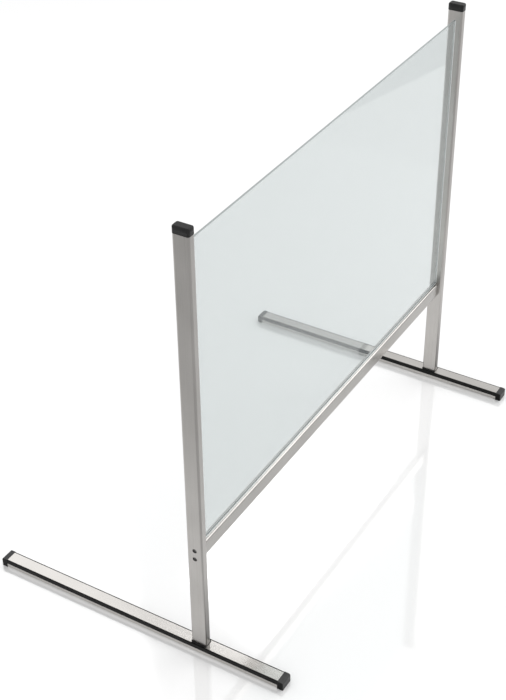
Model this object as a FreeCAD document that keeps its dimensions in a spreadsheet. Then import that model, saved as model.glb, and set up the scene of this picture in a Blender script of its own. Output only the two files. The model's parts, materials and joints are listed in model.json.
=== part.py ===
import FreeCAD, Part
import os
import types

import Sketcher

# Countertop sneeze guard: a clear pane between two extruded posts, over a crossbar that leaves
# a pass-through gap, on two long feet that lie across the pane.
# Frame: X runs along the pane, Y along the feet (the front, at -Y, is the short side), Z is up.
# The counter top is Z = 0 and the origin is the centre of the footprint. Millimetres.

SIZES = {
    # Overall
    "post_spacing": 1000,  # centre to centre of the posts
    "post_length": 886.5,
    "foot_front": 184.5,  # from the pane's mid-plane to the front tip of a foot
    "foot_rear": 465,  # from the pane's mid-plane to the rear tip of a foot
    "bar_clearance": 229.5,  # height of the pass-through gap above the counter
    "pane_drop": 20,  # top edge of the pane below the top of the posts
    # Post extrusion
    "post_width": 32,
    "post_depth": 17,
    "post_radius": 4,
    "post_wall": 1.6,
    "post_web": 2.1,  # wall between the core and the chambers beside it
    "groove_depth": 9,  # reach of the pane's slot from the inner face to the floor of the core
    "slot_play": 0.5,  # slot left open above the pane
    # Screw channels in the extrusions
    "port_bore": 4.8,
    "port_wall": 1.2,
    "boss_root": 0.4,  # how far a channel's round wall runs into the flat wall beside it
    # Pane and seals
    "glass_thickness": 4,
    "glass_arris": 0.4,
    "glass_play": 0.3,
    "seal_wall": 1,
    "seal_base": 1.5,
    "seal_tip": 0.3,
    "seal_rise": 2.5,  # rear lip of the bottom seal above the crossbar
    # Crossbar extrusion
    "bar_height": 32,
    "bar_depth": 17,
    "bar_radius": 4,
    "bar_wall": 1.6,
    "bar_groove_depth": 2.6,
    "bar_seal_base": 1,
    # Screws
    "screw_shank": 4.6,
    "screw_hole": 5.2,
    "bar_screw_head": 6.4,
    "bar_screw_head_height": 4.2,
    "sink_width": 9,  # bore in the post that takes a crossbar screw's head
    "sink_depth": 5,
    "bar_screw_reach": 18,  # length of screw inside the crossbar
    "base_screw_head": 8.5,
    "base_screw_head_height": 4,
    "base_screw_reach": 20,  # length of screw inside the post
    "key_width": 3,  # across the flats of the hexagon socket
    "key_depth": 2,
    # Foot extrusion
    "foot_width": 27.5,
    "foot_top": 17.5,  # height of the top face above the counter
    "foot_lift": 0.8,  # gap between the extrusion and the counter
    "foot_plate": 4.5,
    "foot_web": 2,
    "foot_lip": 2.2,
    "foot_edge": 1,
    "slot_width": 12,
    # Trims along the upper edges of the feet
    "trim_width": 2.4,
    "trim_height": 9,
    "trim_flat": 1.6,  # flat left beside the rounded edge
    "trim_tongue": 1,
    "trim_tongue_depth": 4,
    "trim_tongue_inset": 0.5,
    "trim_play": 0.15,
    # Rubber grips under the feet
    "grip_flange": 1.5,
    "grip_flange_height": 1.5,
    # Plastic caps and pads
    "foot_cap_length": 12,
    "foot_cap_overhang": 0.8,
    "foot_cap_nose": 4,  # round along the top of the end face
    "foot_cap_edge": 1,
    "foot_cap_plug": 14,
    "plug_wall": 1.6,
    "plug_play": 0.2,
    "base_pad_height": 2,
    "base_pad_corner": 3,
    "post_cap_height": 14,
    "post_cap_overhang": 0.4,
    "post_cap_edge": 3,
    "post_cap_soft": 0.9,  # small bevels on both sides of the rim's bevel
    "tongue_length": 12,
}

TOLERANCE = 0.01


class Size:
    """A length that holds its value and the sheet expression that drives it."""

    def __init__(self, value, text):
        self.value = float(value)
        self.text = text

    def __add__(self, other):
        other = as_size(other)
        return Size(self.value + other.value, f"({self.text} + {other.text})")

    def __sub__(self, other):
        other = as_size(other)
        return Size(self.value - other.value, f"({self.text} - {other.text})")

    def __mul__(self, factor):
        return Size(self.value * factor, f"({self.text} * {factor})")

    def __truediv__(self, factor):
        return Size(self.value / factor, f"({self.text} / {factor})")

    def __neg__(self):
        return Size(-self.value, f"(0 - {self.text})")


def as_size(number):
    """Let a plain number stand beside a size."""
    return number if isinstance(number, Size) else Size(number, str(number))


ZERO = Size(0, "0")

doc = FreeCAD.newDocument("SneezeGuard")


def make_sheet():
    """Write the driving dimensions into the sheet and return them as sizes."""
    sheet = doc.addObject("Spreadsheet::Sheet", "Sizes")
    for row, (alias, value) in enumerate(SIZES.items(), 1):
        sheet.set(f"A{row}", alias.replace("_", " "))
        sheet.set(f"B{row}", str(value))
        sheet.setAlias(f"B{row}", alias)
    doc.recompute()
    return types.SimpleNamespace(**{alias: Size(value, f"Sizes.{alias}") for alias, value in SIZES.items()})


size = make_sheet()


# Places and sizes shared by several pieces

pane_y = (size.foot_front - size.foot_rear) / 2
foot_length = size.foot_front + size.foot_rear - size.foot_cap_length * 2
post_x = size.post_spacing / 2
post_bottom = size.foot_top + size.base_pad_height
post_top = post_bottom + size.post_length
post_face = size.post_depth / 2
post_side = size.post_width / 2

glass_half = size.glass_thickness / 2
groove_half = glass_half + size.seal_wall
groove_floor = post_face - size.groove_depth
core_front = post_face - size.post_wall

boss_radius = size.port_bore / 2 + size.port_wall
boss_reach = boss_radius - size.boss_root
chamber_near = groove_half + size.post_web
chamber_far = post_side - size.post_wall
chamber_half = post_face - size.post_wall
port_y = chamber_far - boss_reach

screw_sunk = size.sink_depth - size.bar_screw_head_height

bar_length = size.post_spacing - size.post_depth
bar_top = size.bar_clearance + size.bar_height
bar_groove_floor = size.bar_height - size.bar_groove_depth
bar_ceiling = bar_groove_floor - size.bar_wall
bar_ports = (size.bar_wall + boss_reach, bar_ceiling - boss_reach)

pane_bottom = bar_top - size.bar_groove_depth + size.bar_seal_base
pane_top = post_top - size.pane_drop
pane_half = post_x - groove_floor - size.seal_base - size.glass_play
slot_low = pane_bottom - post_bottom
slot_high = pane_top + size.slot_play - post_bottom

foot_half = size.foot_width / 2
foot_shoulder = foot_half - size.trim_width
foot_ledge = size.foot_top - size.trim_height
foot_ceiling = size.foot_top - size.foot_plate
foot_chamber = foot_shoulder - size.foot_web
lip_top = size.foot_lift + size.foot_lip
slot_half = size.slot_width / 2
tongue_near = foot_shoulder + size.trim_tongue_inset
tongue_far = tongue_near + size.trim_tongue
tongue_floor = foot_ledge - size.trim_tongue_depth
trim_radius = size.trim_width - size.trim_flat
grip_top = lip_top + size.grip_flange_height


# Sketch and feature helpers

def bind(thing, name, length):
    """Drive one property of an object from the sheet."""
    thing.setExpression(name, length.text)


def new_body(label):
    """Start a piece that is built from sketches and features."""
    return doc.addObject("PartDesign::Body", label)


def sketch_on(body, role, name, offset=None):
    """Attach a sketch to one of the body's origin planes, moved along its normal by offset."""
    sketch = body.newObject("Sketcher::SketchObject", name)
    plane = next(item for item in body.Origin.OriginFeatures if item.Role == role)
    sketch.AttachmentSupport = [(plane, "")]
    sketch.MapMode = "FlatFace"
    if offset:
        bind(sketch, "AttachmentOffset.Base.z", offset)
    return sketch


def drive_point(sketch, geometry, point, x, y):
    """Hold one point of a sketch at a place taken from the sheet."""
    for kind, length in (("DistanceX", x), ("DistanceY", y)):
        constraint = Sketcher.Constraint(kind, -1, 1, geometry, point, length.value)
        index = sketch.addConstraint(constraint)
        bind(sketch, f"Constraints[{index}]", length)


def polygon(sketch, corners):
    """Draw a closed outline through corners."""
    first = sketch.GeometryCount
    points = [FreeCAD.Vector(x.value, y.value, 0) for x, y in corners]
    count = len(points)
    for start, end in zip(points, points[1:] + points[:1]):
        sketch.addGeometry(Part.LineSegment(start, end), False)
    for step, (x, y) in enumerate(corners):
        following = (step + 1) % count
        sketch.addConstraint(Sketcher.Constraint("Coincident", first + step, 2, first + following, 1))
        drive_point(sketch, first + step, 1, x, y)


def rectangle(sketch, left, right, low, high):
    """Draw a rectangle from its four sides."""
    polygon(sketch, [(left, low), (right, low), (right, high), (left, high)])


def circle(sketch, x, y, diameter):
    """Draw a circle from its centre and diameter."""
    centre = FreeCAD.Vector(x.value, y.value, 0)
    index = sketch.addGeometry(Part.Circle(centre, FreeCAD.Vector(0, 0, 1), diameter.value / 2), False)
    drive_point(sketch, index, 3, x, y)
    constraint = sketch.addConstraint(Sketcher.Constraint("Diameter", index, diameter.value))
    bind(sketch, f"Constraints[{constraint}]", diameter)


def mirrored(corners):
    """Complete an outline that is the same on both sides of the vertical axis."""
    return corners + [(-x, y) for x, y in reversed(corners)]


def pad(body, sketch, length, side="One side", reverse=False):
    """Extrude a sketch outwards."""
    feature = body.newObject("PartDesign::Pad", sketch.Name + "Pad")
    feature.Profile = sketch
    feature.SideType = side
    feature.Reversed = reverse
    bind(feature, "Length", length)
    doc.recompute()
    return feature


def cut(body, sketch, length, side="One side", reverse=False):
    """Extrude a sketch into the piece, and make sure that it removed something."""
    before = body.Shape.Volume
    feature = body.newObject("PartDesign::Pocket", sketch.Name + "Pocket")
    feature.Profile = sketch
    feature.SideType = side
    feature.Reversed = reverse
    bind(feature, "Length", length)
    doc.recompute()
    if not body.Shape.Volume < before - TOLERANCE:
        raise RuntimeError(f"{body.Label}: {sketch.Name} cut nothing")
    return feature


def edge_names(feature, wanted):
    """Name the edges of a feature that a test picks out."""
    return [f"Edge{number}" for number, edge in enumerate(feature.Shape.Edges, 1) if wanted(edge)]


def round_edges(body, feature, radius, wanted):
    """Round the picked edges of a feature."""
    fillet = body.newObject("PartDesign::Fillet", feature.Name + "Round")
    fillet.Base = (feature, edge_names(feature, wanted))
    bind(fillet, "Radius", radius)
    doc.recompute()
    return fillet


def bevel_edges(body, feature, width, wanted):
    """Bevel the picked edges of a feature."""
    chamfer = body.newObject("PartDesign::Chamfer", feature.Name + "Bevel")
    chamfer.Base = (feature, edge_names(feature, wanted))
    bind(chamfer, "Size", width)
    doc.recompute()
    return chamfer


def along(axis):
    """Test for straight edges along one axis (0, 1 or 2 for X, Y or Z)."""
    def test(edge):
        run = edge.lastVertex().Point - edge.firstVertex().Point
        return abs(abs(run[axis]) - edge.Length) < TOLERANCE
    return test


def at(axis, place):
    """Test for edges that lie in the plane at one place on an axis."""
    def test(edge):
        return all(abs(vertex.Point[axis] - place.value) < TOLERANCE for vertex in edge.Vertexes)
    return test


def both(first, second):
    """Test for edges that pass two tests."""
    return lambda edge: first(edge) and second(edge)


def either(first, second):
    """Test for edges that pass at least one of two tests."""
    return lambda edge: first(edge) or second(edge)


def place(thing, x=ZERO, y=ZERO, z=ZERO, axis=(0, 0, 1), turn=0):
    """Turn a piece about an axis and move it to a place taken from the sheet."""
    spot = FreeCAD.Vector(x.value, y.value, z.value)
    thing.Placement = FreeCAD.Placement(spot, FreeCAD.Rotation(FreeCAD.Vector(*axis), turn))
    for name, length in (("x", x), ("y", y), ("z", z)):
        bind(thing, f"Placement.Base.{name}", length)
    return thing


# Uprights: the left piece faces +X, the right one is the same piece turned half round

def post(label):
    """Post extrusion with a slot milled into its core for the pane, screw channels and counterbored holes."""
    body = new_body(label)
    outline = sketch_on(body, "XY_Plane", label + "Outline")
    rectangle(outline, -post_face, post_face, -post_side, post_side)
    bar = pad(body, outline, size.post_length)
    round_edges(body, bar, size.post_radius, along(2))

    chambers = sketch_on(body, "XY_Plane", label + "Chambers")
    rectangle(chambers, -chamber_half, chamber_half, chamber_near, chamber_far)
    rectangle(chambers, -chamber_half, chamber_half, -chamber_far, -chamber_near)
    cut(body, chambers, size.post_length, reverse=True)

    bosses = sketch_on(body, "XY_Plane", label + "Bosses")
    circle(bosses, ZERO, port_y, boss_radius * 2)
    circle(bosses, ZERO, -port_y, boss_radius * 2)
    pad(body, bosses, size.post_length)

    ports = sketch_on(body, "XY_Plane", label + "Ports")
    circle(ports, ZERO, port_y, size.port_bore)
    circle(ports, ZERO, -port_y, size.port_bore)
    cut(body, ports, size.post_length, reverse=True)

    core = sketch_on(body, "XY_Plane", label + "Core")
    rectangle(core, groove_floor, core_front, -groove_half, groove_half)
    cut(body, core, size.post_length, reverse=True)

    slot = sketch_on(body, "YZ_Plane", label + "Slot", post_face)
    rectangle(slot, -groove_half, groove_half, slot_low, slot_high)
    cut(body, slot, size.post_wall)

    holes = sketch_on(body, "YZ_Plane", label + "ScrewHoles", -post_face)
    for height in bar_ports:
        circle(holes, ZERO, size.bar_clearance + height - post_bottom, size.screw_hole)
    doc.recompute()
    before = body.Shape.Volume
    sinks = body.newObject("PartDesign::Hole", label + "Counterbores")
    sinks.Profile = holes
    sinks.DepthType = "ThroughAll"
    sinks.Reversed = True
    sinks.HoleCutType = "Counterbore"
    sinks.HoleCutCustomValues = True
    bind(sinks, "Diameter", size.screw_hole)
    bind(sinks, "HoleCutDiameter", size.sink_width)
    bind(sinks, "HoleCutDepth", size.sink_depth)
    doc.recompute()
    if not body.Shape.Volume < before - TOLERANCE:
        raise RuntimeError(f"{label}: the screw holes cut nothing")
    return body


def plug_tongues(body, label, start=None, down=False):
    """Four flat tongues that slide into a post's two chambers beside the screw channels."""
    near_x = chamber_half - size.plug_play - size.plug_wall
    far_x = chamber_half - size.plug_play
    near_y = chamber_near + size.plug_play
    far_y = chamber_far - size.plug_play
    tongues = sketch_on(body, "XY_Plane", label + "Tongues", start)
    for left, right in ((near_x, far_x), (-far_x, -near_x)):
        for low, high in ((near_y, far_y), (-far_y, -near_y)):
            rectangle(tongues, left, right, low, high)
    pad(body, tongues, size.tongue_length, reverse=down)


def post_cap(label):
    """Plastic cap with a softened rim, pushed into the end of a post."""
    body = new_body(label)
    half_x = post_face + size.post_cap_overhang
    half_y = post_side + size.post_cap_overhang
    outline = sketch_on(body, "XY_Plane", label + "Outline")
    rectangle(outline, -half_x, half_x, -half_y, half_y)
    block = pad(body, outline, size.post_cap_height)
    corners = round_edges(body, block, size.post_radius + size.post_cap_overhang, along(2))
    rim = bevel_edges(body, corners, size.post_cap_edge, at(2, size.post_cap_height))
    rim_base = size.post_cap_height - size.post_cap_edge
    bevel_edges(body, rim, size.post_cap_soft, either(at(2, size.post_cap_height), at(2, rim_base)))
    plug_tongues(body, label, down=True)
    return body


def base_pad(label):
    """Plastic pad between a post and its foot, as wide as the foot's flat top, with tongues up into the post."""
    body = new_body(label)
    outline = sketch_on(body, "XY_Plane", label + "Outline")
    rectangle(outline, -foot_shoulder, foot_shoulder, -post_side, post_side)
    plate = pad(body, outline, size.base_pad_height)
    round_edges(body, plate, size.base_pad_corner, along(2))
    holes = sketch_on(body, "XY_Plane", label + "Holes")
    circle(holes, ZERO, port_y, size.screw_hole)
    circle(holes, ZERO, -port_y, size.screw_hole)
    cut(body, holes, size.base_pad_height, reverse=True)
    plug_tongues(body, label, start=size.base_pad_height)
    return body


def side_seal(label):
    """U strip that lines a post's slot and grips one side edge of the pane."""
    body = new_body(label)
    base_face = groove_floor + size.seal_base
    section = sketch_on(body, "XY_Plane", label + "Section")
    polygon(section, [
        (groove_floor, -groove_half),
        (post_face, -groove_half),
        (post_face, -glass_half),
        (base_face, -glass_half),
        (base_face, glass_half),
        (post_face, glass_half),
        (post_face, groove_half),
        (groove_floor, groove_half),
    ])
    strip = pad(body, section, pane_top - pane_bottom)
    round_edges(body, strip, size.seal_tip, both(along(2), at(0, post_face)))
    return body


# Crossbar and pane

def crossbar(label):
    """Rail under the pane: hollow, with two screw channels and a shallow groove on top."""
    body = new_body(label)
    half = size.bar_depth / 2
    chamber = half - size.bar_wall
    outline = sketch_on(body, "YZ_Plane", label + "Outline")
    rectangle(outline, -half, half, ZERO, size.bar_height)
    rail = pad(body, outline, bar_length, side="Symmetric")
    round_edges(body, rail, size.bar_radius, along(0))

    hollow = sketch_on(body, "YZ_Plane", label + "Hollow")
    rectangle(hollow, -chamber, chamber, size.bar_wall, bar_ceiling)
    cut(body, hollow, bar_length, side="Symmetric")

    bosses = sketch_on(body, "YZ_Plane", label + "Bosses")
    ports = sketch_on(body, "YZ_Plane", label + "Ports")
    for height in bar_ports:
        circle(bosses, ZERO, height, boss_radius * 2)
        circle(ports, ZERO, height, size.port_bore)
    pad(body, bosses, bar_length, side="Symmetric")
    cut(body, ports, bar_length, side="Symmetric")

    groove = sketch_on(body, "YZ_Plane", label + "Groove")
    rectangle(groove, -groove_half, groove_half, bar_groove_floor, size.bar_height)
    cut(body, groove, bar_length, side="Symmetric")
    return body


def bottom_seal(label):
    """U strip in the crossbar's groove that the pane stands in, with its rear lip above the crossbar."""
    body = new_body(label)
    seat = bar_groove_floor + size.bar_seal_base
    rear_tip = size.bar_height + size.seal_rise
    section = sketch_on(body, "YZ_Plane", label + "Section")
    polygon(section, [
        (-groove_half, bar_groove_floor),
        (groove_half, bar_groove_floor),
        (groove_half, rear_tip),
        (glass_half, rear_tip),
        (glass_half, seat),
        (-glass_half, seat),
        (-glass_half, size.bar_height),
        (-groove_half, size.bar_height),
    ])
    strip = pad(body, section, bar_length, side="Symmetric")
    tips = either(at(2, size.bar_height), at(2, rear_tip))
    round_edges(body, strip, size.seal_tip, both(along(0), tips))
    return body


def glass_pane(label):
    """Clear pane with bevelled edges."""
    body = new_body(label)
    outline = sketch_on(body, "XZ_Plane", label + "Outline")
    rectangle(outline, -pane_half, pane_half, pane_bottom, pane_top)
    sheet = pad(body, outline, size.glass_thickness, side="Symmetric")
    bevel_edges(body, sheet, size.glass_arris, either(at(1, -glass_half), at(1, glass_half)))
    return body


# Feet

def foot(label):
    """Foot extrusion: a channel open below, with ledges and slots for the trims."""
    body = new_body(label)
    section = sketch_on(body, "XZ_Plane", label + "Section")
    polygon(section, mirrored([
        (foot_chamber, foot_ceiling),
        (foot_chamber, lip_top),
        (slot_half, lip_top),
        (slot_half, size.foot_lift),
        (foot_half, size.foot_lift),
        (foot_half, foot_ledge),
        (tongue_far, foot_ledge),
        (tongue_far, tongue_floor),
        (tongue_near, tongue_floor),
        (tongue_near, foot_ledge),
        (foot_shoulder, foot_ledge),
        (foot_shoulder, size.foot_top),
    ]))
    channel = pad(body, section, foot_length, side="Symmetric")
    sides = either(at(0, -foot_half), at(0, foot_half))
    round_edges(body, channel, size.foot_edge, both(sides, at(2, size.foot_lift)))
    holes = sketch_on(body, "XY_Plane", label + "Holes", foot_ceiling)
    for offset in (port_y, -port_y):
        circle(holes, ZERO, pane_y + offset, size.screw_hole)
    cut(body, holes, size.foot_plate, reverse=True)
    return body


def foot_trim(label):
    """Plastic trim with a rounded edge, pressed down into its slot on the +X side of a foot."""
    body = new_body(label)
    play = size.trim_play
    section = sketch_on(body, "XZ_Plane", label + "Section")
    polygon(section, [
        (foot_shoulder, foot_ledge),
        (tongue_near + play, foot_ledge),
        (tongue_near + play, tongue_floor + play),
        (tongue_far - play, tongue_floor + play),
        (tongue_far - play, foot_ledge),
        (foot_half, foot_ledge),
        (foot_half, size.foot_top),
        (foot_shoulder, size.foot_top),
    ])
    strip = pad(body, section, foot_length, side="Symmetric")
    round_edges(body, strip, trim_radius, both(at(0, foot_half), at(2, size.foot_top)))
    return body


def foot_cap(label):
    """Plastic end cap for the rear end of a foot, with a rounded nose and a hollow plug."""
    body = new_body(label)
    half = foot_half + size.foot_cap_overhang
    top = size.foot_top + size.foot_cap_overhang
    outline = sketch_on(body, "XZ_Plane", label + "Outline")
    rectangle(outline, -half, half, ZERO, top)
    block = pad(body, outline, size.foot_cap_length, reverse=True)
    nose = round_edges(body, block, size.foot_cap_nose, both(at(1, size.foot_cap_length), at(2, top)))
    sides = either(at(0, -half), at(0, half))
    hidden = either(at(1, ZERO), at(2, ZERO))
    bevel_edges(body, nose, size.foot_cap_edge, lambda edge: sides(edge) and not hidden(edge))

    side = foot_chamber - size.plug_play
    low = grip_top + size.plug_play
    high = foot_ceiling - size.plug_play
    plug = sketch_on(body, "XZ_Plane", label + "Plug")
    rectangle(plug, -side, side, low, high)
    pad(body, plug, size.foot_cap_plug)
    wall = size.plug_wall
    hollow = sketch_on(body, "XZ_Plane", label + "Hollow")
    rectangle(hollow, wall - side, side - wall, low + wall, high - wall)
    cut(body, hollow, size.foot_cap_plug, reverse=True)
    return body


def foot_grip(label):
    """Rubber strip held in the foot's slot by its flanges, standing on the counter."""
    body = new_body(label)
    flange = slot_half + size.grip_flange
    section = sketch_on(body, "XZ_Plane", label + "Section")
    polygon(section, mirrored([
        (slot_half, ZERO),
        (slot_half, lip_top),
        (flange, lip_top),
        (flange, grip_top),
    ]))
    pad(body, section, foot_length, side="Symmetric")
    return body


# Screws: each lies along +Z with its head's bearing face or rim at Z = 0

def socket(body, label, height, reverse):
    """Sink a hexagon socket into a screw's head."""
    key = sketch_on(body, "XY_Plane", label + "Key", height)
    corner = size.key_width / 3 ** 0.5
    flat = size.key_width / 2
    polygon(key, [
        (corner, ZERO),
        (corner / 2, flat),
        (-corner / 2, flat),
        (-corner, ZERO),
        (-corner / 2, -flat),
        (corner / 2, -flat),
    ])
    cut(body, key, size.key_depth, reverse=reverse)


def turned(body, label, profile):
    """Revolve a half profile about Z."""
    sketch = sketch_on(body, "XZ_Plane", label + "Profile")
    polygon(sketch, profile)
    feature = body.newObject("PartDesign::Revolution", label + "Turned")
    feature.Profile = sketch
    feature.ReferenceAxis = (sketch, ["V_Axis"])
    feature.Angle = 360
    doc.recompute()
    return feature


def bar_screw(label):
    """Cylinder-head screw, sunk in a post, that draws the post against the end of the crossbar."""
    body = new_body(label)
    head = size.bar_screw_head / 2
    shank = size.screw_shank / 2
    length = size.post_depth - screw_sunk + size.bar_screw_reach
    turned(body, label, [
        (ZERO, ZERO),
        (head, ZERO),
        (head, size.bar_screw_head_height),
        (shank, size.bar_screw_head_height),
        (shank, length),
        (ZERO, length),
    ])
    socket(body, label, ZERO, True)
    return body


def base_screw(label):
    """Cylinder-head screw that holds a post on its foot."""
    body = new_body(label)
    head = size.base_screw_head / 2
    shank = size.screw_shank / 2
    length = size.foot_plate + size.base_pad_height + size.base_screw_reach
    turned(body, label, [
        (ZERO, -size.base_screw_head_height),
        (head, -size.base_screw_head_height),
        (head, ZERO),
        (shank, ZERO),
        (shank, length),
        (ZERO, length),
    ])
    socket(body, label, -size.base_screw_head_height, True)
    return body


def group(label, members):
    """Hold identical fasteners together as one piece of separate solids."""
    compound = doc.addObject("Part::Compound", label)
    compound.Links = members
    return compound


def build():
    """Make every piece in its place and return them all."""
    pieces = [
        place(crossbar("crossbar"), y=pane_y, z=size.bar_clearance),
        place(bottom_seal("seal_bottom"), y=pane_y, z=size.bar_clearance),
        place(glass_pane("glass_pane"), y=pane_y),
    ]
    bar_screws = []
    base_screws = []
    for side, sign, turn in (("left", -1, 0), ("right", 1, 180)):
        x = post_x * sign
        pieces += [
            place(post(f"post_{side}"), x, pane_y, post_bottom, turn=turn),
            place(post_cap(f"post_cap_{side}"), x, pane_y, post_top, turn=turn),
            place(base_pad(f"base_pad_{side}"), x, pane_y, size.foot_top, turn=turn),
            place(side_seal(f"seal_{side}"), x, pane_y, pane_bottom, turn=turn),
            place(foot(f"foot_{side}"), x),
            place(foot_grip(f"grip_{side}"), x),
        ]
        for end, end_sign, end_turn in (("front", -1, 180), ("rear", 1, 0)):
            cap = foot_cap(f"foot_cap_{side}_{end}")
            pieces.append(place(cap, x, foot_length / 2 * end_sign, turn=end_turn))
        for edge, edge_turn in (("outer", 180 - turn), ("inner", turn)):
            pieces.append(place(foot_trim(f"foot_trim_{side}_{edge}"), x, turn=edge_turn))
        for number, height in enumerate(bar_ports, 1):
            screw = bar_screw(f"BarScrew{side}{number}")
            spot = (post_x + post_face - screw_sunk) * sign
            rise = size.bar_clearance + height
            bar_screws.append(place(screw, spot, pane_y, rise, axis=(0, 1, 0), turn=-90 * sign))
        for number, offset in enumerate((port_y, -port_y), 1):
            screw = base_screw(f"BaseScrew{side}{number}")
            base_screws.append(place(screw, x, pane_y + offset, foot_ceiling))
    pieces.append(group("crossbar_screws", bar_screws))
    pieces.append(group("base_screws", base_screws))
    return pieces


def check(pieces):
    """Stop if any object failed or any piece has no sound shape."""
    doc.recompute()
    for item in doc.Objects:
        if "Invalid" in item.State or "Error" in item.State:
            raise RuntimeError(f"{item.Name} failed: {item.State}")
    for piece in pieces:
        if piece.Shape.isNull() or not piece.Shape.isValid():
            raise RuntimeError(f"{piece.Label} has no valid shape")


def export(pieces):
    """Write each piece to its own file."""
    os.makedirs("parts", exist_ok=True)
    for piece in pieces:
        piece.Shape.exportStep(f"parts/{piece.Label}.step")
        solids = len(piece.Shape.Solids)
        print(f"{piece.Label}: {solids} solid(s), {piece.Shape.Volume / 1000:.2f} cm3")


all_pieces = build()
check(all_pieces)
export(all_pieces)
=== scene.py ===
"""Looks of a countertop sneeze guard: finishes, moulded caps, screws, floor, light and camera."""

import enum
import json
import logging
import math
from dataclasses import dataclass, field
from typing import Dict, Iterable, List, Mapping, Optional, Sequence, Tuple, Union

import bmesh
import bpy
from mathutils import Matrix, Quaternion, Vector

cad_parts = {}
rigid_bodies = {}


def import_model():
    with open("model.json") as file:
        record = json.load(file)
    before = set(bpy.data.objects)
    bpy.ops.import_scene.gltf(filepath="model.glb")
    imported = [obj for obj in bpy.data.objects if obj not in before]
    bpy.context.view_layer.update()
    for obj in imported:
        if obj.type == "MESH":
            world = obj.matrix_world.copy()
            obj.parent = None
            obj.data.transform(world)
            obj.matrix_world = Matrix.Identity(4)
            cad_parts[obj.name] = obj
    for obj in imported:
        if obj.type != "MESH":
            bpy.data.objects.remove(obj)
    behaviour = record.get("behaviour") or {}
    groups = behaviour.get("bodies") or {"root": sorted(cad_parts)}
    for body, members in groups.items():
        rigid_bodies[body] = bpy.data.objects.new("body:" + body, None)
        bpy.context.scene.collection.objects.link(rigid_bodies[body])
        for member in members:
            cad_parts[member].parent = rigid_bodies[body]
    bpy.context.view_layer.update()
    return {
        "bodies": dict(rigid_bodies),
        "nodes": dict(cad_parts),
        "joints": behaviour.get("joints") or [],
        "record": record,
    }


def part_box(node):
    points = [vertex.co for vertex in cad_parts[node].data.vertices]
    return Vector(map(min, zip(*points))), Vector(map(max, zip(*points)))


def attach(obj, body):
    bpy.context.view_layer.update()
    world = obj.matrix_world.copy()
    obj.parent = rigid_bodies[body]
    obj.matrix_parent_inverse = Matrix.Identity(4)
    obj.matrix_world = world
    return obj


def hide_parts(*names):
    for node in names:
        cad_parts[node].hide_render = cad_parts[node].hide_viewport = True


LOG = logging.getLogger("sneeze_guard")
BODY = "root"
MM = 0.001

Colour = Tuple[float, float, float]
Point = Tuple[float, float, float]
Span = Tuple[float, float]
Frame = Mapping[str, Mapping[str, bpy.types.Object]]

# The middle of a noise's values, over which a colour changes
MID_TONES: Span = (0.3, 0.7)


class Axis(enum.Enum):
    """The direction in which an extrusion was drawn."""

    ALONG_PANE = 0
    ALONG_FOOT = 1
    UPRIGHT = 2


class Side(enum.Enum):
    """The two halves of the guard."""

    LEFT = "left"
    RIGHT = "right"


class Wire:
    """A socket that can be used in sums, each of which adds a Math node."""

    def __init__(self, bench: "Bench", socket: bpy.types.NodeSocket) -> None:
        """Keep a socket and the tree that it belongs to."""
        self.bench = bench
        self.socket = socket

    def __add__(self, other: "Number") -> "Wire":
        """Add."""
        return self.bench.sum("ADD", self, other)

    __radd__ = __add__

    def __sub__(self, other: "Number") -> "Wire":
        """Subtract."""
        return self.bench.sum("SUBTRACT", self, other)

    def __rsub__(self, other: "Number") -> "Wire":
        """Subtract from a number."""
        return self.bench.sum("SUBTRACT", other, self)

    def __mul__(self, other: "Number") -> "Wire":
        """Multiply."""
        return self.bench.sum("MULTIPLY", self, other)

    __rmul__ = __mul__

    def __truediv__(self, other: "Number") -> "Wire":
        """Divide."""
        return self.bench.sum("DIVIDE", self, other)

    def __gt__(self, other: "Number") -> "Wire":
        """Give 1 where this is the greater."""
        return self.bench.sum("GREATER_THAN", self, other)

    def __lt__(self, other: "Number") -> "Wire":
        """Give 1 where this is the smaller."""
        return self.bench.sum("LESS_THAN", self, other)

    def __mod__(self, other: "Number") -> "Wire":
        """Give the remainder."""
        return self.bench.sum("MODULO", self, other)

    def __abs__(self) -> "Wire":
        """Drop the sign."""
        return self.bench.sum("ABSOLUTE", self)

    def larger(self, other: "Number") -> "Wire":
        """Give the larger of two values."""
        return self.bench.sum("MAXIMUM", self, other)

    def rise(self, low: float, high: float) -> "Wire":
        """Ramp smoothly from 0 at low to 1 at high.

        Args:
            low: value that gives 0.
            high: value that gives 1.

        Returns:
            The ramped value.
        """
        settings = {"interpolation_type": "SMOOTHSTEP"}
        sockets = {"Value": self, "From Min": low, "From Max": high}
        return self.bench.make("ShaderNodeMapRange", settings, sockets)


Number = Union[Wire, float]
Socket = Union[Wire, float, int, bool, Sequence[float], bpy.types.ID]
Key = Union[str, int]


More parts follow.
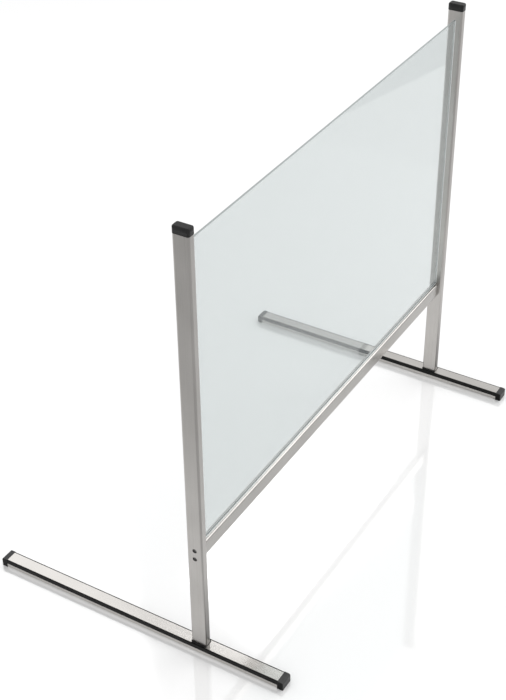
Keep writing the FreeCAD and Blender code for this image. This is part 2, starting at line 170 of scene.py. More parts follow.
class Bench:
    """Builds one tree of nodes, for a finish, the world or a shape."""

    def __init__(self, tree: bpy.types.NodeTree) -> None:
        """Start on a tree, emptied of its nodes."""
        self.tree = tree
        tree.nodes.clear()

    @staticmethod
    def find(sockets: Iterable[bpy.types.NodeSocket], key: Key) -> bpy.types.NodeSocket:
        """Find a socket.

        Args:
            sockets: a node's inputs or outputs.
            key: its identifier, its name or its place in the row.

        Returns:
            The socket.
        """
        row = list(sockets)
        if isinstance(key, int):
            return row[key]
        for attribute in ("identifier", "name"):
            for socket in row:
                if getattr(socket, attribute) == key:
                    return socket
        raise KeyError(f"no socket {key!r} among {[socket.identifier for socket in row]}")

    def make(
        self,
        kind: str,
        settings: Optional[Mapping[str, object]] = None,
        sockets: Optional[Mapping[Key, Socket]] = None,
        output: Key = 0,
    ) -> Wire:
        """Add a node.

        Args:
            kind: the node's type.
            settings: its properties.
            sockets: values or wires for its inputs.
            output: the output wanted.

        Returns:
            The wire that leaves that output, or the node's first input where it has no output.
        """
        node = self.tree.nodes.new(kind)
        for name, value in (settings or {}).items():
            setattr(node, name, value)
        for key, value in (sockets or {}).items():
            target = self.find(node.inputs, key)
            if isinstance(value, Wire):
                self.tree.links.new(value.socket, target)
            elif target.type == "RGBA" and len(value) == 3:
                target.default_value = (*value, 1.0)
            else:
                target.default_value = value
        if not node.outputs:
            return Wire(self, node.inputs[0])
        return Wire(self, self.find(node.outputs, output))

    def also(self, wire: Wire, output: Key) -> Wire:
        """Take another output of the node that a wire leaves."""
        return Wire(self, self.find(wire.socket.node.outputs, output))

    def sum(self, operation: str, *terms: Number) -> Wire:
        """Add a Math node.

        Args:
            operation: what it does.
            terms: its values or wires, in order.

        Returns:
            Its result.
        """
        return self.make("ShaderNodeMath", {"operation": operation}, dict(enumerate(terms)))

    def mix(self, share: Number, first: Union[Wire, Colour], second: Union[Wire, Colour]) -> Wire:
        """Mix two colours.

        Args:
            share: how much of the second colour there is.
            first: colour at 0.
            second: colour at 1.

        Returns:
            The mixed colour.
        """
        sockets = {"Factor_Float": share, "A_Color": first, "B_Color": second}
        return self.make("ShaderNodeMix", {"data_type": "RGBA"}, sockets, "Result_Color")

    def noise(self, where: Wire, scale: float, detail: float = 2.0) -> Wire:
        """Add smooth noise.

        Args:
            where: the coordinates to read.
            scale: how fine it is.
            detail: how many finer layers it has.

        Returns:
            Values around 0.5.
        """
        sockets = {"Vector": where, "Scale": scale, "Detail": detail}
        return self.make("ShaderNodeTexNoise", {}, sockets, "Fac")

    def place(self) -> Wire:
        """Read the Object coordinates."""
        return self.make("ShaderNodeTexCoord", output="Object")

    def part(self, vector: Wire, axis: str) -> Wire:
        """Take one coordinate of a vector."""
        return self.make("ShaderNodeSeparateXYZ", {}, {"Vector": vector}, axis)

    def facing(self, axis: str) -> Wire:
        """Tell how far a face looks along an axis, from -1 to 1."""
        return self.part(self.make("ShaderNodeNewGeometry", output="Normal"), axis)

    def relief(self, height: Wire, strength: float, depth: float) -> Wire:
        """Raise a pattern on the surface.

        Args:
            height: the pattern.
            strength: how much of it shows.
            depth: how high it stands, in metres.

        Returns:
            The bumped normal.
        """
        sockets = {"Strength": strength, "Distance": depth, "Height": height}
        return self.make("ShaderNodeBump", {}, sockets)

    def worn_edge(self, width: float) -> Wire:
        """Find the edges of a piece.

        Args:
            width: how far a worn edge reaches, in metres.

        Returns:
            0 on flat faces, and up to about 0.3 on a sharp edge.
        """
        soft = self.make("ShaderNodeBevel", {"samples": 4}, {"Radius": width})
        plain = self.make("ShaderNodeNewGeometry", output="Normal")
        dot = {"operation": "DOT_PRODUCT"}
        return 1.0 - self.make("ShaderNodeVectorMath", dot, {0: soft, 1: plain}, "Value")

    def coat(self, sockets: Mapping[Key, Socket]) -> Wire:
        """Add a Principled shader."""
        return self.make("ShaderNodeBsdfPrincipled", {}, sockets)

    def deliver(self, surface: Wire) -> None:
        """Send a shader to the material's output."""
        self.make("ShaderNodeOutputMaterial", {}, {"Surface": surface})


def new_finish(name: str) -> Tuple[bpy.types.Material, Bench]:
    """Start a material.

    Args:
        name: what it is called.

    Returns:
        The material and the bench for its nodes.
    """
    material = bpy.data.materials.new(name)
    material.use_nodes = True
    return material, Bench(material.node_tree)


@dataclass(frozen=True)
class SatinAluminium:
    """Anodised extrusion with fine lines along its length, with painted shade in its recesses and, on an
    upright one, painted shade towards its foot on the faces that look along the feet.
    """

    axis: Axis
    roughness: float = 0.3
    spread: float = 0.14
    dark: Colour = (0.425, 0.411, 0.394)
    light: Colour = (0.525, 0.509, 0.491)
    edge_tint: float = 0.85
    lines: float = 1600.0
    line_run: float = 5.0
    line_detail: float = 3.0
    line_share: float = 0.45
    patches: float = 9.0
    patch_share: float = 0.55
    wear_width: float = 0.4 * MM
    wear_share: float = 0.8
    shade_span: Span = (0.25, 0.85)
    bump: float = 0.06
    bump_depth: float = 0.2 * MM
    painted_shade: Colour = (0.03, 0.03, 0.03)
    recess_shade_reach: float = 0.0
    recess_shade_span: Span = (0.45, 0.85)
    low_shade_heights: Optional[Span] = None
    low_shade_strength: float = 0.68
    low_shade_faces: Span = (0.6, 0.95)

    def material(self) -> bpy.types.Material:
        """Build the finish."""
        material, bench = new_finish(f"satin_aluminium_{self.axis.name.lower()}")
        where = bench.place()
        scale = [self.lines] * 3
        scale[self.axis.value] = self.line_run
        drawn = bench.make("ShaderNodeMapping", {}, {"Vector": where, "Scale": scale})
        lines = bench.noise(drawn, 1.0, self.line_detail)
        patches = bench.noise(where, self.patches)
        worn = bench.worn_edge(self.wear_width)
        shade = lines * self.line_share + patches * self.patch_share + worn * self.wear_share
        colour = bench.mix(shade.rise(*self.shade_span), self.dark, self.light)
        # Painted shade: the base colour darkens towards near black where ambient occlusion finds a recess
        # or corner.
        if self.recess_shade_reach:
            reach = {"Distance": self.recess_shade_reach}
            open_sky = bench.make("ShaderNodeAmbientOcclusion", {"samples": 8}, reach, "AO")
            colour = bench.mix((1.0 - open_sky).rise(*self.recess_shade_span), colour, self.painted_shade)
        # Painted shade: on faces that look along the feet, the base colour darkens towards the bottom
        # between the two heights.
        if self.low_shade_heights:
            low_down = 1.0 - bench.part(where, "Z").rise(*self.low_shade_heights)
            along_foot = abs(bench.facing("Y")).rise(*self.low_shade_faces)
            colour = bench.mix(low_down * along_foot * self.low_shade_strength, colour, self.painted_shade)
        bench.deliver(bench.coat({
            "Base Color": colour,
            "Roughness": self.roughness + self.spread * (lines - 0.5),
            "Metallic": 1.0,
            "Specular Tint": (self.edge_tint,) * 3,
            "Normal": bench.relief(lines, self.bump, self.bump_depth),
        }))
        return material


@dataclass(frozen=True)
class MouldedPlastic:
    """Black plastic with a fine moulded grain, slightly paler edges and, where wanted, painted shade that
    blackens the flanks facing sideways.
    """

    name: str = "black_moulded_plastic"
    dark: Colour = (0.015, 0.015, 0.0153)
    light: Colour = (0.022, 0.0218, 0.0218)
    edge: Colour = (0.03, 0.03, 0.03)
    edge_share: float = 0.6
    wear_width: float = 0.5 * MM
    wear_gain: float = 2.5
    wear_span: Span = (0.05, 0.8)
    roughness: float = 0.4
    spread: float = 0.14
    grain: float = 1700.0
    clouds: float = 45.0
    bump: float = 0.12
    bump_depth: float = 0.15 * MM
    sheen_level: float = 0.14
    flank_shade: float = 0.0
    flank_shade_faces: Span = (0.4, 0.9)
    flank_shade_colour: Colour = (0.004, 0.004, 0.004)

    def material(self) -> bpy.types.Material:
        """Build the finish."""
        material, bench = new_finish(self.name)
        where = bench.place()
        grain = bench.noise(where, self.grain, 1.0)
        clouds = bench.noise(where, self.clouds)
        worn = (bench.worn_edge(self.wear_width) * self.wear_gain).rise(*self.wear_span)
        body = bench.mix(clouds.rise(*MID_TONES), self.dark, self.light)
        # Painted shade: faces that look along X are mixed towards near black.
        if self.flank_shade:
            shaded_flank = abs(bench.facing("X")).rise(*self.flank_shade_faces)
            body = bench.mix(self.flank_shade * shaded_flank, body, self.flank_shade_colour)
        bench.deliver(bench.coat({
            "Base Color": bench.mix(worn * self.edge_share, body, self.edge),
            "Roughness": self.roughness + self.spread * (clouds - 0.5) + self.spread * (grain - 0.5),
            "Specular IOR Level": self.sheen_level,
            "Normal": bench.relief(grain, self.bump, self.bump_depth),
        }))
        return material


@dataclass(frozen=True)
class MattRubber:
    """Soft strip with a dull, slightly uneven surface and, where one is given, a painted highlight of
    another colour on its up-facing tips.
    """

    name: str
    dark: Colour
    light: Colour
    tip_highlight: Optional[Colour] = None
    tip_highlight_faces: Span = (0.5, 0.9)
    roughness: float = 0.72
    spread: float = 0.2
    grain: float = 900.0
    bump: float = 0.2
    bump_depth: float = 0.1 * MM

    def material(self) -> bpy.types.Material:
        """Build the finish."""
        material, bench = new_finish(self.name)
        grain = bench.noise(bench.place(), self.grain)
        colour = bench.mix(grain.rise(*MID_TONES), self.dark, self.light)
        # Painted highlight: faces that look up take the lighter tip colour.
        if self.tip_highlight:
            colour = bench.mix(bench.facing("Z").rise(*self.tip_highlight_faces), colour, self.tip_highlight)
        bench.deliver(bench.coat({
            "Base Color": colour,
            "Roughness": self.roughness + self.spread * (grain - 0.5),
            "Normal": bench.relief(grain, self.bump, self.bump_depth),
        }))
        return material


@dataclass(frozen=True)
class BlackenedSteel:
    """Blackened screw steel with turning marks, bright worn edges and rubbed end faces."""

    name: str = "blackened_steel"
    dark: Colour = (0.02, 0.02, 0.021)
    light: Colour = (0.05, 0.049, 0.048)
    bright: Colour = (0.42, 0.41, 0.40)
    rubbed: float = 0.3
    end_face: float = 0.95
    wear_width: float = 0.35 * MM
    wear_gain: float = 3.0
    wear_span: Span = (0.1, 0.9)
    roughness: float = 0.3
    spread: float = 0.15
    marks: float = 1400.0
    bump: float = 0.1
    bump_depth: float = 0.05 * MM

    def material(self) -> bpy.types.Material:
        """Build the finish."""
        material, bench = new_finish(self.name)
        marks = bench.noise(bench.place(), self.marks)
        end = abs(bench.facing("X")) > self.end_face
        worn = (bench.worn_edge(self.wear_width) * self.wear_gain).rise(*self.wear_span)
        body = bench.mix(marks.rise(*MID_TONES), self.dark, self.light)
        bench.deliver(bench.coat({
            "Base Color": bench.mix(worn.larger(end * self.rubbed), body, self.bright),
            "Roughness": self.roughness + self.spread * (marks - 0.5),
            "Metallic": 1.0,
            "Normal": bench.relief(marks, self.bump, self.bump_depth),
        }))
        return material


@dataclass(frozen=True)
class ClearGlass:
    """Float glass: faintly veiled faces, frosted ground edges, and open to lamp light.

    The index is low, so that the pieces mirrored in the pane stay as faint as in the photograph.
    """

    name: str = "clear_float_glass"
    face: Colour = (0.69, 0.725, 0.725)
    edge: Colour = (0.34, 0.37, 0.365)
    edge_light: Colour = (0.40, 0.43, 0.425)
    shade: Colour = (0.93, 0.95, 0.95)
    index: float = 1.2
    veil: float = 0.13
    flat_face: float = 0.9
    edge_roughness: float = 0.55
    spread: float = 0.2
    grinding: float = 900.0

    def material(self) -> bpy.types.Material:
        """Build the finish."""
        material, bench = new_finish(self.name)
        edge = abs(bench.facing("Y")) < self.flat_face
        marks = bench.noise(bench.place(), self.grinding)
        clear = bench.coat({
            "Base Color": self.face,
            "Roughness": 0.0,
            "IOR": self.index,
            "Transmission Weight": 1.0 - self.veil,
        })
        frosted = bench.coat({
            "Base Color": bench.mix(marks.rise(*MID_TONES), self.edge, self.edge_light),
            "Roughness": self.edge_roughness + self.spread * (marks - 0.5),
            "IOR": self.index,
        })
        pane = bench.make("ShaderNodeMixShader", {}, {0: edge, 1: clear, 2: frosted})
        open_pane = bench.make("ShaderNodeBsdfTransparent", {}, {"Color": self.shade})
        lamp_ray = bench.make("ShaderNodeLightPath", output="Is Shadow Ray")
        mirrored = bench.also(lamp_ray, "Is Glossy Ray") - bench.also(lamp_ray, "Is Transmission Ray")
        satin = mirrored * (1.0 - bench.also(lamp_ray, "Is Singular Ray"))
        passing = lamp_ray.larger(bench.also(lamp_ray, "Is Diffuse Ray")).larger(satin)
        bench.deliver(bench.make("ShaderNodeMixShader", {}, {0: passing, 1: pane, 2: open_pane}))
        return material


@dataclass(frozen=True)
class TableEdge:
    """One side of the table top, as distances along a direction that points inwards."""

    inward: Tuple[float, float]
    outer: float
    inner: float
    depth: float = 1.0


@dataclass(frozen=True)
class WhiteFloor:
    """Glossy white table top that turns greyer in reflections beyond its edges."""

    name: str = "white_table"
    white: Colour = (0.99, 0.99, 0.99)
    grey: Colour = (0.49, 0.49, 0.49)
    dim: Colour = (0.10, 0.10, 0.11)
    roughness: float = 0.06
    dull: float = 0.9
    index: float = 2.8
    edges: Tuple[TableEdge, ...] = (
        TableEdge((0.9, 0.43), -1.08, -0.55),
        TableEdge((0.5, 0.866), -0.64, -0.5),
        TableEdge((0.0, 1.0), -0.75, 0.0, 0.45),
    )
    clear_edges: Tuple[TableEdge, ...] = (TableEdge((-0.242, 1.0), -1.36, -1.34),)

    def beyond(self, bench: Bench, edges: Iterable[TableEdge]) -> Wire:
        """Mask the table outside its edges.

        Args:
            bench: where the nodes go.
            edges: the sides of the table.

        Returns:
            0 on the table and 1 outside it.
        """
        x = bench.part(bench.place(), "X")
        y = bench.also(x, "Y")
        on_table: Number = 1.0
        for edge in edges:
            across = x * edge.inward[0] + y * edge.inward[1]
            inside = across.rise(edge.outer, edge.inner)
            on_table = (1.0 - edge.depth + edge.depth * inside) * on_table
        return 1.0 - on_table

    def material(self) -> bpy.types.Material:
        """Build the finish."""
        material, bench = new_finish(self.name)
        glossy = bench.make("ShaderNodeLightPath", output="Is Glossy Ray")
        mirrored = glossy - bench.also(glossy, "Is Transmission Ray")
        sharp = bench.also(glossy, "Is Singular Ray")
        satin, clear = self.beyond(bench, self.edges), self.beyond(bench, self.clear_edges)
        blurred = bench.mix(mirrored * satin * (1.0 - sharp), self.white, self.grey)
        bench.deliver(bench.coat({
            "Base Color": bench.mix(mirrored * clear * sharp, blurred, self.dim),
            "Roughness": self.roughness + (self.dull - self.roughness) * mirrored,
            "IOR": self.index,
        }))
        return material


def dress(frame: Frame, nodes: Iterable[str], material: bpy.types.Material) -> None:
    """Give CAD pieces a finish.

    Args:
        frame: the loaded frame.
        nodes: names of the pieces.
        material: the finish.
    """
    for node in nodes:
        for slot in frame["nodes"][node].material_slots:
            slot.material = material
        LOG.info("%s: %s", node, material.name)


def add_object(name: str, data: bpy.types.ID) -> bpy.types.Object:
    """Put a mesh, lamp or camera into the scene.

    Args:
        name: name of the object.
        data: what it shows.

    Returns:
        The object, at the origin.
    """
    made = bpy.data.objects.new(name, data)
    bpy.context.scene.collection.objects.link(made)
    return made


def finish_piece(name: str, mesh: bpy.types.Mesh) -> bpy.types.Object:
    """Put a finished mesh into the scene.

    Args:
        name: name of the piece.
        mesh: its mesh, already in place.

    Returns:
        The piece, riding on the guard.
    """
    piece = add_object(name, mesh)
    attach(piece, BODY)
    LOG.info("%s: %d faces", name, len(mesh.polygons))
    return piece


def rounded_outline(half_x: float, half_y: float, radius: float, steps: int) -> List[Tuple[float, float]]:
    """Trace a rectangle with rounded corners.

    Args:
        half_x: half of its width.
        half_y: half of its depth.
        radius: radius of its corners.
        steps: number of segments in each corner.

    Returns:
        Its points, anticlockwise.
    """
    points = []
    for quarter, (sign_x, sign_y) in enumerate(((1, 1), (-1, 1), (-1, -1), (1, -1))):
        for step in range(steps + 1):
            angle = math.pi / 2 * (quarter + step / steps)
            x = sign_x * (half_x - radius) + radius * math.cos(angle)
            y = sign_y * (half_y - radius) + radius * math.sin(angle)
            points.append((x, y))
    return points


def add_block(shape: bmesh.types.BMesh, low: Point, high: Point) -> None:
    """Add a closed box to a mesh.

    Args:
        shape: the mesh.
        low: its lowest corner.
        high: its highest corner.
    """
    size = [b - a for a, b in zip(low, high)]
    middle = [(a + b) / 2 for a, b in zip(low, high)]
    place = Matrix.Translation(middle) @ Matrix.Diagonal((*size, 1.0))
    bmesh.ops.create_cube(shape, size=1.0, matrix=place)


@dataclass
class PostCaps:
    """Moulded caps on the tops of the posts."""

    height: float = 14 * MM
    overhang: float = 0.4 * MM
    corner: float = 4.4 * MM
    corner_steps: int = 8
    rim: float = 3.0 * MM
    rim_steps: int = 6
    tongue: float = 1.6 * MM
    tongue_gap: float = 1.8 * MM
    tongue_reach: Span = (5.3 * MM, 14.2 * MM)

    def levels(self, top: float) -> List[Tuple[float, float]]:
        """List the cap's outlines from its foot over its rounded rim.

        Args:
            top: height of the cap's top.

        Returns:
            The inset and the height of each outline.
        """
        rows = [(0.0, top - self.height)]
        for step in range(self.rim_steps + 1):
            angle = math.pi / 2 * step / self.rim_steps
            inset = self.rim * (1 - math.cos(angle))
            rows.append((inset, top - self.rim * (1 - math.sin(angle))))
        return rows

    def cap_mesh(self, side: Side) -> bpy.types.Mesh:
        """Build one cap with a rounded rim and four tongues.

        Args:
            side: the post that carries it.

        Returns:
            Its mesh, in place.
        """
        low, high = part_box(f"post_cap_{side.value}")
        middle, half = (low + high) / 2, (high - low) / 2
        shape = bmesh.new()
        rings = []
        for inset, z in self.levels(high.z):
            corner = self.corner - inset
            outline = rounded_outline(half.x - inset, half.y - inset, corner, self.corner_steps)
            rings.append([shape.verts.new((middle.x + x, middle.y + y, z)) for x, y in outline])
        for lower, upper in zip(rings, rings[1:]):
            for here in range(len(lower)):
                after = (here + 1) % len(lower)
                face = shape.faces.new((lower[here], lower[after], upper[after], upper[here]))
                face.smooth = True
        shape.faces.new(rings[-1])
        shape.faces.new(list(reversed(rings[0])))
        base = high.z - self.height
        inner = half.x - self.overhang - self.tongue_gap
        for sign_x in (-1, 1):
            for sign_y in (-1, 1):
                spans_x = sorted(middle.x + sign_x * reach for reach in (inner, inner - self.tongue))
                spans_y = sorted(middle.y + sign_y * reach for reach in self.tongue_reach)
                add_block(shape, (spans_x[0], spans_y[0], low.z), (spans_x[1], spans_y[1], base))
        mesh = bpy.data.meshes.new(f"post_cap_shell_{side.value}")
        shape.to_mesh(mesh)
        shape.free()
        return mesh

    def build(self, material: bpy.types.Material) -> None:
        """Replace both caps.

        Args:
            material: their finish.
        """
        for side in Side:
            mesh = self.cap_mesh(side)
            mesh.materials.append(material)
            piece = finish_piece(f"post_cap_moulded_{side.value}", mesh)
            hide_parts(f"post_cap_{side.value}")


@dataclass
class CrossbarScrews:
    """Socket screws, sunk in the posts, that run into the ends of the crossbar."""

    head: float = 6.4 * MM
    head_height: float = 4.2 * MM
    chamfer: float = 0.4 * MM
    shank: float = 4.6 * MM
    point: float = 0.8 * MM
    reach: float = 18 * MM
    key: float = 3.0 * MM
    key_depth: float = 2.0 * MM
    key_sides: int = 6
    facets: int = 48
    crease: float = 0.5
    per_post: int = 2

    def sizes(self) -> Dict[str, float]:
        """Give the tree's inputs: the screw's sizes, and the places of the CAD screws."""
        low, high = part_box("crossbar_screws")
        bar_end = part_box("crossbar")[1].x
        return {
            "Head": self.head,
            "Head Height": self.head_height,
            "Chamfer": self.chamfer,
            "Shank": self.shank,
            "Length": high.x - bar_end + self.reach,
            "Point": self.point,
            "Key": self.key,
            "Key Depth": self.key_depth,
            "Spread": high.x,
            "Depth": (low.y + high.y) / 2,
            "Low": low.z + self.head / 2,
            "Rise": high.z - low.z - self.head,
        }

    def turned(self, bench: Bench, start: Number, wide: Number, narrow: Number, depth: Number) -> Wire:
        """Add a turned length of a screw.

        Args:
            bench: where the nodes go.
            start: its distance from the top of the head.
            wide: its radius at the start.
            narrow: its radius at the end.
            depth: how long it is.

        Returns:
            Its mesh.
        """
        sockets = {
            "Vertices": self.facets,
            "Radius Bottom": wide,
            "Radius Top": narrow,
            "Depth": depth,
        }
        cone = bench.make("GeometryNodeMeshCone", {}, sockets, "Mesh")
        offset = bench.make("ShaderNodeCombineXYZ", {}, {"Z": start})
        return bench.make("GeometryNodeTransform", {}, {"Geometry": cone, "Translation": offset})

    def screw(self, bench: Bench, get: Mapping[str, Wire]) -> Wire:
        """Make one screw, with the top of its head at the origin.

        Args:
            bench: where the nodes go.
            get: the tree's inputs.

        Returns:
            Its mesh, creased at its edges.
        """
        head, shank, chamfer = get["Head"] / 2, get["Shank"] / 2, get["Chamfer"]
        neck, point = get["Head Height"], get["Point"]
        straight = get["Length"] - neck - point
        body = self.turned(bench, 0.0, head - chamfer, head, chamfer)
        for length in (
            self.turned(bench, chamfer, head, head, neck - chamfer),
            self.turned(bench, neck, shank, shank, straight),
            self.turned(bench, neck + straight, shank, shank - point, point),
        ):
            union = {"operation": "UNION", "solver": "EXACT"}
            body = bench.make("GeometryNodeMeshBoolean", union, {"Mesh 2": body})
            bench.tree.links.new(length.socket, bench.find(body.socket.node.inputs, "Mesh 2"))
        key_radius = get["Key"] / (2 * math.cos(math.pi / self.key_sides))
        socket = bench.make(
            "GeometryNodeMeshCylinder",
            {},
            {"Vertices": self.key_sides, "Radius": key_radius, "Depth": get["Key Depth"] * 2},
            "Mesh",
        )
        difference = {"operation": "DIFFERENCE", "solver": "EXACT"}
        cut = bench.make("GeometryNodeMeshBoolean", difference, {"Mesh 1": body, "Mesh 2": socket})
        smooth = bench.make("GeometryNodeSetShadeSmooth", {"domain": "FACE"}, {"Geometry": cut})
        sharp = bench.make("GeometryNodeInputMeshEdgeAngle") > self.crease
        return bench.make(
            "GeometryNodeSetShadeSmooth",
            {"domain": "EDGE"},
            {"Geometry": smooth, "Selection": sharp, "Shade Smooth": False},
        )

    def tree(self, names: Iterable[str], material: bpy.types.Material) -> bpy.types.NodeTree:
        """Build the nodes that make one screw and set it at each hole.

        Args:
            names: names of the inputs.
            material: the screws' finish.

        Returns:
            The tree.
        """
        tree = bpy.data.node_groups.new("socket_screws", "GeometryNodeTree")
        for name in names:
            tree.interface.new_socket(name, in_out="INPUT", socket_type="NodeSocketFloat")
        tree.interface.new_socket("Screws", in_out="OUTPUT", socket_type="NodeSocketGeometry")
        bench = Bench(tree)
        entry = bench.make("NodeGroupInput")
        get = {name: bench.also(entry, name) for name in names}
        number = bench.make("GeometryNodeInputIndex")
        sign = number % 2 * 2 - 1
        spot = bench.make("ShaderNodeCombineXYZ", {}, {
            "X": sign * get["Spread"],
            "Y": get["Depth"],
            "Z": get["Low"] + bench.sum("FLOOR", number / 2) * get["Rise"],
        })
        count = self.per_post * len(Side)
        holes = bench.make("GeometryNodePoints", {}, {"Count": count, "Position": spot})
        turn = bench.make("ShaderNodeCombineXYZ", {}, {"Y": sign * (-math.pi / 2)})
        aimed = bench.make("FunctionNodeEulerToRotation", {}, {"Euler": turn})
        stored = bench.make(
            "GeometryNodeInstanceOnPoints",
            {},
            {"Points": holes, "Instance": self.screw(bench, get), "Rotation": aimed},
        )
        real = bench.make("GeometryNodeRealizeInstances", {}, {"Geometry": stored})
        coated = bench.make("GeometryNodeSetMaterial", {}, {"Geometry": real, "Material": material})
        bench.make("NodeGroupOutput", {}, {"Screws": coated})
        return tree

    def build(self, material: bpy.types.Material) -> None:
        """Replace the crossbar's screws.

        Args:
            material: their finish.
        """
        values = self.sizes()
        tree = self.tree(list(values), material)
        holder = add_object("screw_holder", bpy.data.meshes.new("screw_holder"))
        modifier = holder.modifiers.new("screws", "NODES")
        modifier.node_group = tree
        for item in tree.interface.items_tree:
            if item.in_out == "INPUT":
                modifier[item.identifier] = values[item.name]
        seen = holder.evaluated_get(bpy.context.evaluated_depsgraph_get())
        mesh = bpy.data.meshes.new_from_object(seen)
        mesh.name = "crossbar_screw_set"
        holder.modifiers.remove(modifier)
        bpy.data.objects.remove(holder)
        piece = finish_piece("crossbar_screw_set", mesh)
        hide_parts("crossbar_screws")


@dataclass
class Uprights:
    """Both posts with their base pads and caps."""

    # The posts carry painted shade in their recesses and towards their bottoms.
    metal: SatinAluminium = SatinAluminium(
        Axis.UPRIGHT, recess_shade_reach=4 * MM, low_shade_heights=(10 * MM, 230 * MM),
    )
    caps: PostCaps = field(default_factory=PostCaps)

    def build(self, frame: Frame, plastic: bpy.types.Material) -> None:
        """Dress the posts and mould their caps.

        Args:
            frame: the loaded frame.
            plastic: finish of caps and pads.
        """
        dress(frame, [f"post_{side.value}" for side in Side], self.metal.material())
        dress(frame, [f"base_pad_{side.value}" for side in Side], plastic)
        self.caps.build(plastic)


@dataclass
class Screen:
    """The pane, its seals and the crossbar under it."""

    metal: SatinAluminium = SatinAluminium(
        Axis.ALONG_PANE, 0.24, dark=(0.395, 0.382, 0.366), light=(0.49, 0.475, 0.458),
    )
    glass: ClearGlass = ClearGlass()
    # The seal under the pane has a painted highlight on its up-facing tips.
    foot_seal: MattRubber = MattRubber(
        "pale_seal", (0.27, 0.275, 0.27), (0.34, 0.345, 0.34), tip_highlight=(0.9, 0.905, 0.9),
    )
    side_seal: MattRubber = MattRubber(
        "white_seal", (0.84, 0.845, 0.84), (0.93, 0.935, 0.93),
    )
    screws: CrossbarScrews = field(default_factory=CrossbarScrews)

    def build(self, frame: Frame, steel: bpy.types.Material) -> None:
        """Dress the pane and the crossbar and set the screws.

        Args:
            frame: the loaded frame.
            steel: finish of the screws.
        """
        dress(frame, ["crossbar"], self.metal.material())
        dress(frame, ["glass_pane"], self.glass.material())
        dress(frame, ["seal_bottom"], self.foot_seal.material())
        dress(frame, [f"seal_{side.value}" for side in Side], self.side_seal.material())
        self.screws.build(steel)


@dataclass
class Feet:
    """Both feet with their trims, end caps, grips and screws."""

    ends: Tuple[str, str] = ("front", "rear")
    edges: Tuple[str, str] = ("outer", "inner")
    metal: SatinAluminium = SatinAluminium(
        Axis.ALONG_FOOT, 0.18, dark=(0.57, 0.552, 0.53), light=(0.68, 0.66, 0.635),
    )
    # The end caps' sideways flanks get painted shade.
    moulding: MouldedPlastic = MouldedPlastic(
        "black_end_cap_plastic", (0.045, 0.045, 0.046), (0.062, 0.062, 0.062), (0.07, 0.07, 0.07),
        sheen_level=0.12, flank_shade=1.0,
    )
    strip: MouldedPlastic = MouldedPlastic(
        "black_trim_plastic", (0.005, 0.005, 0.005), (0.009, 0.009, 0.009), (0.012, 0.012, 0.012),
        sheen_level=0.12,
    )
    grip: MattRubber = MattRubber(
        "black_grip_rubber", (0.012, 0.012, 0.012), (0.03, 0.03, 0.03),
    )

    def build(self, frame: Frame, steel: bpy.types.Material) -> None:
        """Dress the feet.

        Args:
            frame: the loaded frame.
            steel: finish of the screws.
        """
        metal, rubber = self.metal.material(), self.grip.material()
        caps, trims = self.moulding.material(), self.strip.material()
        for side in Side:
            dress(frame, [f"foot_{side.value}"], metal)
            dress(frame, [f"foot_cap_{side.value}_{end}" for end in self.ends], caps)
            dress(frame, [f"foot_trim_{side.value}_{edge}" for edge in self.edges], trims)
            dress(frame, [f"grip_{side.value}"], rubber)
        dress(frame, ["base_screws"], steel)


@dataclass(frozen=True)
class Softbox:
    """A soft rectangular lamp, with the brightness of its face, where white is 1."""

    name: str
    place: Point
    aim: Point
    size: Tuple[float, float]
    brightness: float
    turn: float = 0.0

    def hang(self) -> None:
        """Hang the lamp, turned about the line to its aim by an angle in degrees."""
        lamp = bpy.data.lights.new(self.name, "AREA")
        lamp.shape = "RECTANGLE"
        lamp.size, lamp.size_y = self.size
        lamp.energy = self.brightness * math.pi * self.size[0] * self.size[1]
        holder = add_object(self.name, lamp)
        holder.location = self.place
        facing = (Vector(self.aim) - Vector(self.place)).to_track_quat("-Z", "Y")
        spin = Quaternion((0.0, 0.0, 1.0), math.radians(self.turn))
        holder.rotation_euler = (facing @ spin).to_euler()


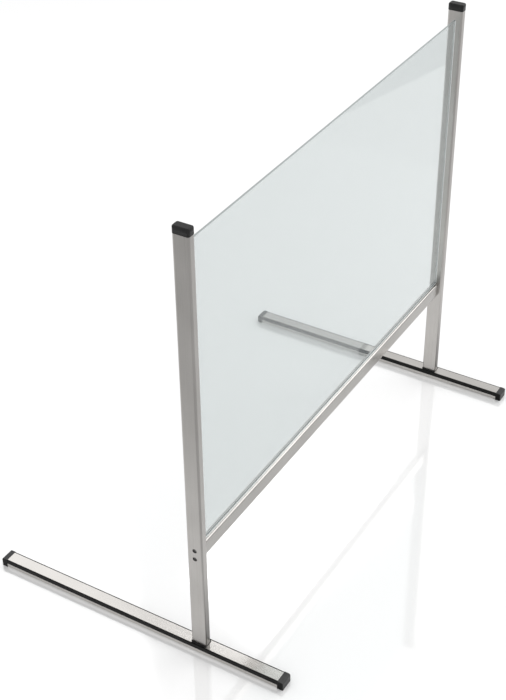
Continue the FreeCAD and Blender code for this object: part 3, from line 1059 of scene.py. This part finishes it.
@dataclass
class Studio:
    """Table, soft light and camera."""

    table: WhiteFloor = WhiteFloor()
    table_half: float = 30.0
    ambient: float = 0.92
    backdrop: float = 1.0
    mirrored: float = 0.82
    lamps: Tuple[Softbox, ...] = (
        Softbox("back_softbox", (3.0, 3.71, 5.2), (-0.5, 0.0, 0.0), (1.6, 2.4), 0.62),
        Softbox("side_softbox", (4.5, -2.6, 4.4), (0.0, -2.6, 4.4), (6.4, 5.2), 2.0),
        Softbox("strip_softbox", (2.2, 1.195, 2.55), (0.0, 1.195, 2.55), (0.5, 1.5), 3.0, -31.0),
    )
    camera_place: Point = (-2.0555, -1.20975, 2.0322)
    yaw: float = math.radians(31.354)
    pitch: float = math.radians(35.531)
    roll: float = math.radians(-0.744)
    focal: float = 1443.0
    image_height: float = 700.0
    sensor: float = 36.0
    clip: Span = (0.05, 100.0)

    def lay_table(self) -> None:
        """Lay the table top."""
        shape = bmesh.new()
        bmesh.ops.create_grid(shape, x_segments=1, y_segments=1, size=self.table_half)
        mesh = bpy.data.meshes.new("table_top")
        shape.to_mesh(mesh)
        shape.free()
        mesh.materials.append(self.table.material())
        add_object("table_top", mesh)

    def light_world(self) -> None:
        """Surround the scene with even light, a white background and a slightly darker mirror image."""
        world = bpy.data.worlds.new("studio")
        world.use_nodes = True
        bench = Bench(world.node_tree)
        seen = bench.make("ShaderNodeLightPath", output="Is Camera Ray")
        through = bench.also(seen, "Is Transmission Ray")
        glossy = bench.also(seen, "Is Glossy Ray") - through
        shown = seen.larger(through)
        background = (self.backdrop - self.ambient) * shown
        strength = self.ambient + background + (self.mirrored - self.ambient) * glossy
        sockets = {"Color": (1.0, 1.0, 1.0), "Strength": strength}
        light = bench.make("ShaderNodeBackground", {}, sockets)
        bench.make("ShaderNodeOutputWorld", {}, {"Surface": light})
        bpy.context.scene.world = world

    def set_camera(self) -> None:
        """Set the camera where the photograph was taken from."""
        level = math.cos(self.pitch)
        ahead = Vector((
            math.cos(self.yaw) * level,
            math.sin(self.yaw) * level,
            -math.sin(self.pitch),
        ))
        right = ahead.cross(Vector((0.0, 0.0, 1.0))).normalized()
        above = right.cross(ahead)
        turned = math.cos(self.roll) * right + math.sin(self.roll) * above
        upright = math.cos(self.roll) * above - math.sin(self.roll) * right
        lens = bpy.data.cameras.new("camera")
        lens.sensor_width = self.sensor
        lens.lens = self.focal * self.sensor / self.image_height
        lens.clip_start, lens.clip_end = self.clip
        eye = add_object("camera", lens)
        facing = Matrix((turned, upright, -ahead)).transposed().to_4x4()
        eye.matrix_world = Matrix.Translation(self.camera_place) @ facing
        bpy.context.scene.camera = eye

    def build(self) -> None:
        """Set up everything around the guard."""
        self.lay_table()
        self.light_world()
        for lamp in self.lamps:
            lamp.hang()
        self.set_camera()
        bpy.context.scene.view_settings.view_transform = "Standard"


def main() -> None:
    """Load the frame and build the guard and its studio in order."""
    logging.basicConfig(level=logging.INFO, format="%(name)s: %(message)s")
    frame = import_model()
    plastic = MouldedPlastic().material()
    steel = BlackenedSteel().material()
    Uprights().build(frame, plastic)
    Screen().build(frame, steel)
    Feet().build(frame, steel)
    Studio().build()


if __name__ == "__main__":
    main()
